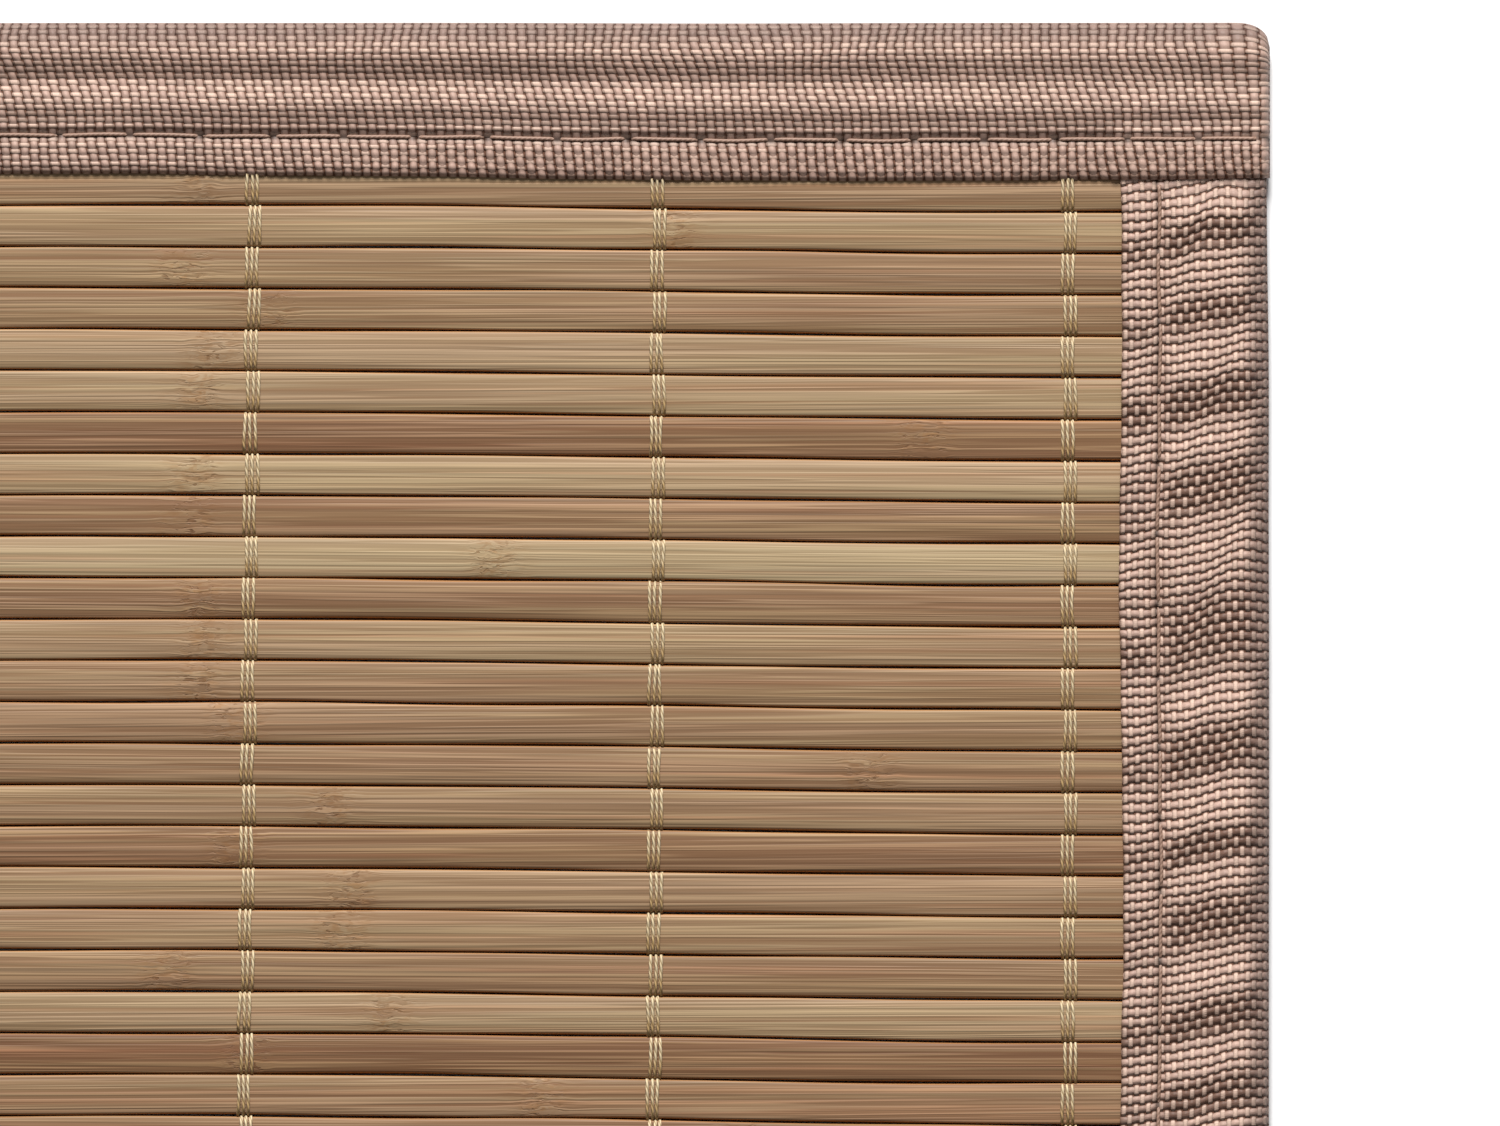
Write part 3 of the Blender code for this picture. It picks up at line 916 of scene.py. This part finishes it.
# Cords, in millimetres
cordValues = {
    "threadRadius": 0.30,
    "spacing": 0.91,
    "shift": 0.26,
    "sides": 6,
    "step": 0.62,
    "under": 0.93,
    "endInset": 24.5,
    # cream is painted light on the threads' upper part; the next colour is painted shade on their lower part
    "creamColours": ((0.58, 0.44, 0.25), (0.84, 0.68, 0.43)),
    "lowerShadeColour": (0.47, 0.30, 0.120),
    "grooveShadeColours": ((0.40, 0.275, 0.130), (0.27, 0.160, 0.060)),
}
# where each cord crosses the mat's middle, and its lean
cordLines = [
    {"name": "cord_1", "x": -187.4, "lean": 0.0020},
    {"name": "cord_2", "x": -112.1, "lean": -0.0040},
    {"name": "cord_3", "x": -36.2, "lean": 0.0050},
    {"name": "cord_4", "x": 39.7, "lean": 0.0100},
    {"name": "cord_5", "x": 113.6, "lean": 0.0055},
    {"name": "cord_6", "x": 188.6, "lean": 0.0},
]


def threadHeight(y, overEven):
    # height of a thread's middle by place across the slats: over the even or the odd ones
    top = layout["slatBase"] + layout["slatThick"] + cordValues["threadRadius"] * 0.72
    count = (layout["halfWidth"] - y) / layout["pitch"] - 0.5 + 1.0
    number = np.floor(count)
    share = count - number
    over = (number % 2 == 0) if overEven else (number % 2 == 1)
    half = np.abs(2.0 * share - 1.0)
    arch = np.clip(1.0 - half**9, 0.0, 1.0)
    middle = (top + cordValues["under"]) / 2
    rise = (top - cordValues["under"]) / 2
    return np.where(over, middle + rise * arch, middle - rise * arch)


def makeCord(line):
    sides = cordValues["sides"]
    end = layout["halfWidth"] - cordValues["endInset"]
    y = np.linspace(end, -end, int(2 * end / cordValues["step"]) + 1)
    count = (layout["halfWidth"] - y) / layout["pitch"] - 0.5
    share = count - np.floor(count)     # 0 at a slat's upper edge, 1 at its lower one
    sideways = np.tile((1.0, 0.0, 0.0), (len(y), 1))
    tubes = []
    faces = []
    uvs = []
    # two ribbons of three threads, over and under by turns
    for ribbon, overEven in ((-1, True), (1, False)):
        for thread in (-1, 0, 1):
            seed = 900 + abs(int(abs(line["x"])) * 7 + thread + 40 * ribbon)
            x = line["x"] + line["lean"] * y + ribbon * cordValues["shift"] + thread * cordValues["spacing"]
            x = x + 0.10 * wander(y, seed, 13.0)
            place = y + slatShift(x, y)
            z = threadHeight(y, overEven)
            slopeY = np.gradient(place)
            slopeZ = np.gradient(z)
            size = np.hypot(slopeY, slopeZ)
            centres = np.stack([x, place, z], axis=1)
            upward = np.stack([0.0 * x, slopeZ / size, -slopeY / size], axis=1)
            faces += ringFaces(len(y), sides, len(tubes) * len(y) * sides)
            tubes.append(threadTube(centres, sideways, upward, cordValues["threadRadius"], sides, 0.9))
            uvs += threadUvs(np.arange(len(y)) * cordValues["step"], sides)
    made = meshObject(line["name"] + "_threads", np.concatenate(tubes) * mm, faces, uvs)
    pointValue(made.data, "share", np.tile(np.repeat(share, sides), len(tubes)))
    return made


def cordMaterial():
    n = Nodes("twisted_thread")
    place = n.add("ShaderNodeTexCoord").outputs["Object"]
    ply = n.plies(0.62)
    fibre = n.noise(n.stretch(place, (1400.0, 500.0, 1400.0)), 1.0, 2.0, 0.6)
    blotch = n.noise(n.stretch(place, (220.0, 220.0, 220.0)), 1.0, 2.0)
    # painted light: cream over most of a slat, where the thread rises towards the light, and golden brown
    # painted shade towards its lower edge, where it turns away
    lowerShade = n.step(0.40, 0.72, n.attribute("share"))
    crown = n.blend(lowerShade, n.blend(blotch, *cordValues["creamColours"]), cordValues["lowerShadeColour"])
    groove = n.blend(lowerShade, *cordValues["grooveShadeColours"])
    # painted shade in the groove between the plies
    colour = n.blend(n.step(0.0, 0.35, ply), groove, crown)
    light = n.sum("ADD", 0.62, n.sum("MULTIPLY", fibre, 0.43))
    n.feed(n.shader.inputs["Base Color"], n.scaled(colour, light))
    n.shader.inputs["Roughness"].default_value = 0.62
    n.shader.inputs["Sheen Weight"].default_value = 0.1
    height = n.sum("ADD", ply, n.sum("MULTIPLY", fibre, 0.4))
    n.feed(n.shader.inputs["Normal"], n.bump(height, 0.6, 0.00018))
    return n.material


twisted = cordMaterial()
for line in cordLines:
    cord = makeCord(line)
    cord.data.materials.append(twisted)
    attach(cord, "root")
    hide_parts(line["name"] + "a", line["name"] + "b")
print("cord threads made")

# Stitches
def stitchThread(tape):
    sides = stitchValues["sides"]
    ends = tape.reach - stitchValues["longInset" if tape.reach > 200 else "shortInset"]
    place = np.linspace(-ends, ends, int(2 * ends / stitchValues["step"]) + 1)
    dive = np.exp(-((fromHole(place) / 0.75) ** 2))
    seam = np.full_like(place, tapeValues["stitch"])
    upper = tape.surface(place, seam + 0.10 * wander(place, tape.phase + 7, 19.0), 0.40)
    upper[:, 2] -= 0.90 * dive
    lower = tape.surface(place, seam)
    lower[:, 2] = 0.25 + 0.5 * dive
    sideways = np.tile((*tape.outward, 0.0), (len(place), 1))
    upward = np.tile((0.0, 0.0, 1.0), (len(place), 1))
    radius = stitchValues["radius"]
    tubes = [threadTube(line, sideways, upward, radius, sides, 0.85) for line in (upper, lower)]
    faces = ringFaces(len(place), sides) + ringFaces(len(place), sides, len(tubes[0]))
    uvs = 2 * threadUvs(place, sides)
    return meshObject(tape.name + "_stitches", np.concatenate(tubes) * mm, faces, uvs)


def stitchMaterial():
    n = Nodes("sewing_thread")
    ply = n.plies(1.1)
    place = n.add("ShaderNodeTexCoord").outputs["Object"]
    blotch = n.noise(n.stretch(place, (260.0, 260.0, 260.0)), 1.0, 2.0)
    brown = n.blend(blotch, *stitchValues["brownColours"])
    # painted shade in the groove between the plies
    colour = n.blend(n.step(0.0, 0.4, ply), stitchValues["grooveShadeColour"], brown)
    n.feed(n.shader.inputs["Base Color"], colour)
    n.shader.inputs["Roughness"].default_value = 0.6
    n.feed(n.shader.inputs["Normal"], n.bump(ply, 0.4, 0.00012))
    return n.material


sewing = stitchMaterial()
for tape in tapes:
    thread = stitchThread(tape)
    thread.data.materials.append(sewing)
    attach(thread, "root")
print("stitches made")
